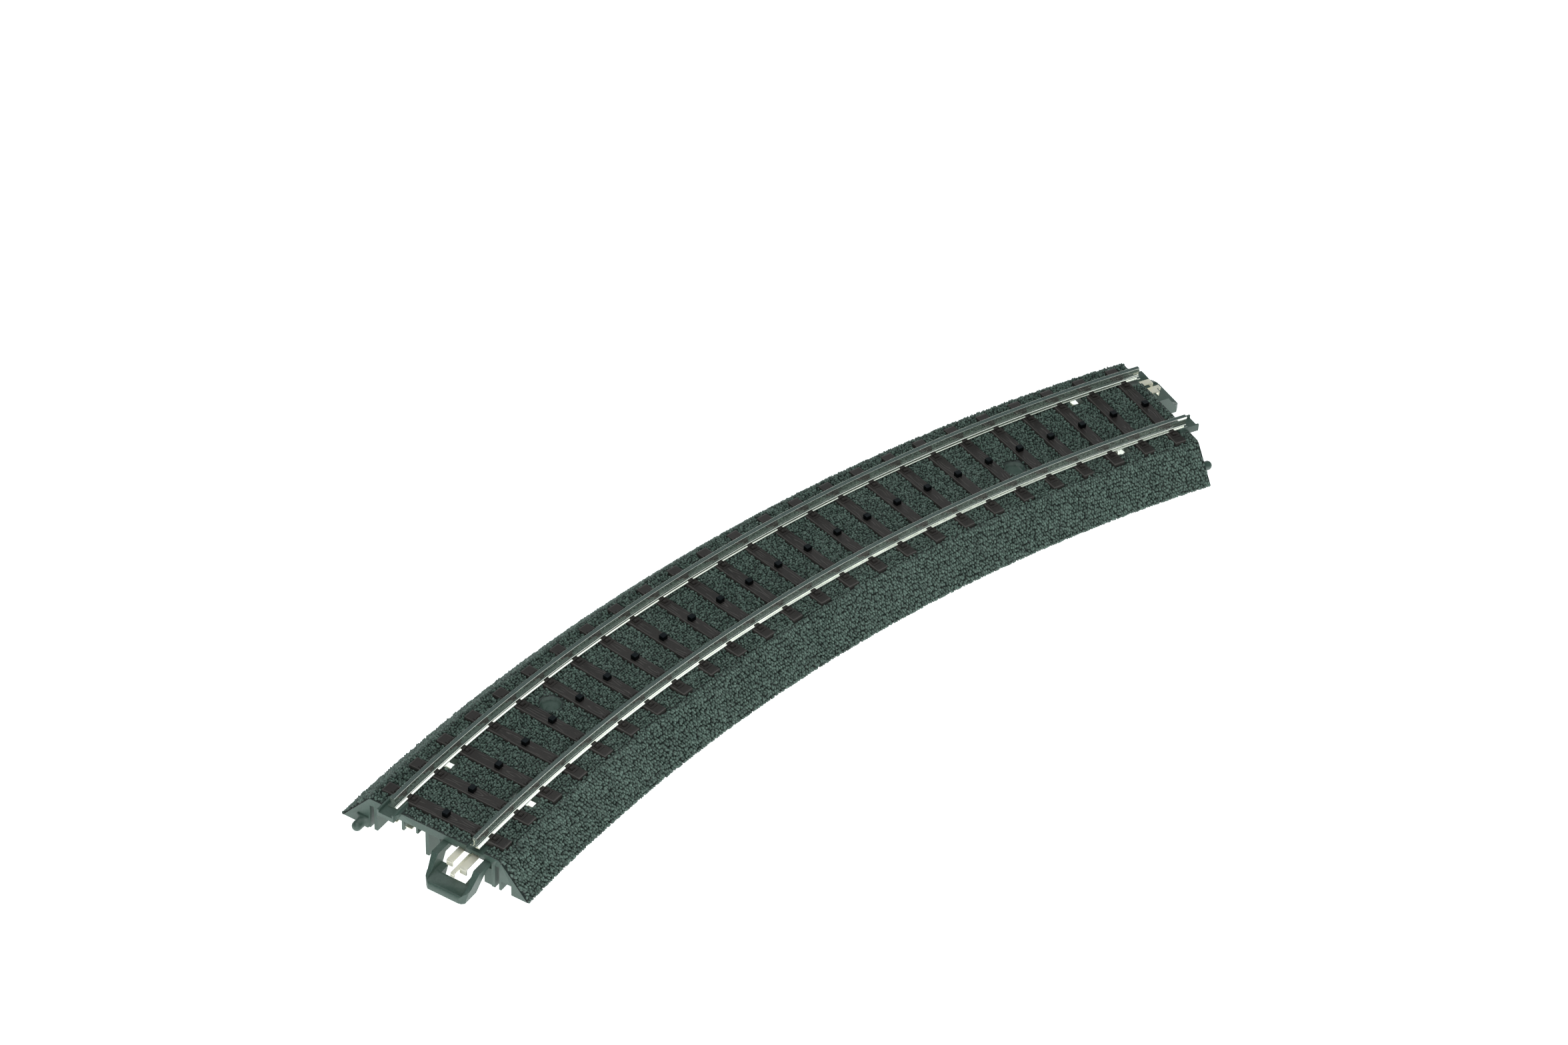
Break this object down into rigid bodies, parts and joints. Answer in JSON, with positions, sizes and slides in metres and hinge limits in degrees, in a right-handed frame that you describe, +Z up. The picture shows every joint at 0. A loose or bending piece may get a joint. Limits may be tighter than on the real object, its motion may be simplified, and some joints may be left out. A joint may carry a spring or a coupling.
{
  "type": "model railway curved track section",
  "caption": "Curved three-rail model railway track section on a hollow ballast bed, with studded centre contact and sprung click couplings at both ends.",
  "frame": {"origin": "on the ground under the middle of the track centreline, in the face of the middle cross rib", "axes": "+X along the track at mid-arc towards the right-hand end, +Y away from the centre of the curve, +Z up"},
  "size_m": [0.2027, 0.0516, 0.0097],
  "materials": {
    "ballast_plastic": "moulded stones, slight sheen",
    "sleeper_plastic": "matt wood grain",
    "rail_nickel": "polished nickel silver",
    "blackened_metal": "blackened",
    "contact_nickel": "bright spring metal"
  },
  "bodies": {
    "track_bed": {"roadbed": "ballast_plastic", "sleepers": "sleeper_plastic", "outer_rail": "rail_nickel", "inner_rail": "rail_nickel", "centre_conductor": "blackened_metal", "rail_bus_left": "contact_nickel", "rail_contact_blade_left": "contact_nickel", "centre_contact_blade_left": "contact_nickel", "rail_feeder_tab_left": "contact_nickel", "centre_feeder_tab_left": "contact_nickel", "rail_bus_right": "contact_nickel", "rail_contact_blade_right": "contact_nickel", "centre_contact_blade_right": "contact_nickel", "rail_feeder_tab_right": "contact_nickel", "centre_feeder_tab_right": "contact_nickel"},
    "latch_loop_left_body": {"latch_loop_left": "ballast_plastic"},
    "rail_contact_spring_left_body": {"rail_contact_spring_left": "contact_nickel"},
    "centre_contact_spring_left_body": {"centre_contact_spring_left": "contact_nickel"},
    "return_contact_spring_left_body": {"return_contact_spring_left": "contact_nickel"},
    "latch_loop_right_body": {"latch_loop_right": "ballast_plastic"},
    "rail_contact_spring_right_body": {"rail_contact_spring_right": "contact_nickel"},
    "centre_contact_spring_right_body": {"centre_contact_spring_right": "contact_nickel"},
    "return_contact_spring_right_body": {"return_contact_spring_right": "contact_nickel"}
  },
  "joints": [
    {"name": "loop_flex_left", "type": "hinge", "parent": "track_bed", "child": "latch_loop_left_body", "pos_m": [-0.09051, -0.01875, 0.0049], "axis": [0.2588, -0.9659, 0], "range_deg": [0, 6], "stiffness_Nm_per_rad": 0.2},
    {"name": "rail_spring_flex_left", "type": "hinge", "parent": "track_bed", "child": "rail_contact_spring_left_body", "pos_m": [-0.08754, -0.01976, 0.00509], "axis": [-0.2588, 0.9659, 0], "range_deg": [0, 4], "stiffness_Nm_per_rad": 0.03},
    {"name": "centre_spring_flex_left", "type": "hinge", "parent": "track_bed", "child": "centre_contact_spring_left_body", "pos_m": [-0.08833, -0.01682, 0.00509], "axis": [-0.2588, 0.9659, 0], "range_deg": [0, 4], "stiffness_Nm_per_rad": 0.03},
    {"name": "return_spring_flex_left", "type": "hinge", "parent": "track_bed", "child": "return_contact_spring_left_body", "pos_m": [-0.08789, -0.01846, 0.00428], "axis": [-0.2588, 0.9659, 0], "range_deg": [0, 4], "stiffness_Nm_per_rad": 0.03},
    {"name": "loop_flex_right", "type": "hinge", "parent": "track_bed", "child": "latch_loop_right_body", "pos_m": [0.0941, -0.00532, 0.0049], "axis": [0.2588, 0.9659, 0], "range_deg": [0, 6], "stiffness_Nm_per_rad": 0.2},
    {"name": "rail_spring_flex_right", "type": "hinge", "parent": "track_bed", "child": "rail_contact_spring_right_body", "pos_m": [0.09205, -0.00296, 0.00509], "axis": [-0.2588, -0.9659, 0], "range_deg": [0, 4], "stiffness_Nm_per_rad": 0.03},
    {"name": "centre_spring_flex_right", "type": "hinge", "parent": "track_bed", "child": "centre_contact_spring_right_body", "pos_m": [0.09126, -0.0059, 0.00509], "axis": [-0.2588, -0.9659, 0], "range_deg": [0, 4], "stiffness_Nm_per_rad": 0.03},
    {"name": "return_spring_flex_right", "type": "hinge", "parent": "track_bed", "child": "return_contact_spring_right_body", "pos_m": [0.0917, -0.00426, 0.00428], "axis": [-0.2588, -0.9659, 0], "range_deg": [0, 4], "stiffness_Nm_per_rad": 0.03}
  ]
}
